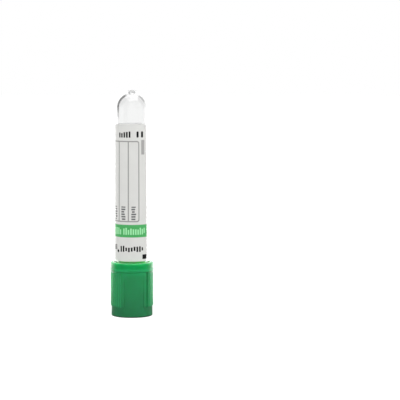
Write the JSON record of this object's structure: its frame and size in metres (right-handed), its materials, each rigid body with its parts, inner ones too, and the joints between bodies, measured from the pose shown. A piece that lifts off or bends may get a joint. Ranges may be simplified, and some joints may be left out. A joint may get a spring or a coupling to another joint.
{
  "type": "blood collection tube",
  "caption": "Clear round-bottom sample tube with a wrapped label, standing on a ribbed push-on closure that holds a rubber stopper with a needle well.",
  "frame": {"origin": "centre of the closure's needle end, in the plane that the tube stands on", "axes": "+Z along the tube's axis, from the closure up to the round end; -Y faces the front of the label; +X towards the clear window strip"},
  "size_m": [0.0172, 0.0172, 0.0878],
  "materials": {
    "clear_plastic": "clear polished moulded plastic, clear as glass",
    "label_paper": "satin coated label stock with printed rules and a green band",
    "green_plastic": "satin moulded polyethylene, slightly translucent",
    "stopper_rubber": "matt moulded butyl rubber"
  },
  "bodies": {
    "closure": {"cap_shield": "green_plastic", "rubber_stopper": "stopper_rubber"},
    "labelled_tube": {"tube": "clear_plastic", "label": "label_paper"}
  },
  "joints": [
    {"name": "tube_pull_off", "type": "slide", "parent": "closure", "child": "labelled_tube", "axis": [0, 0, 1], "range_m": [0, 0.025]}
  ]
}
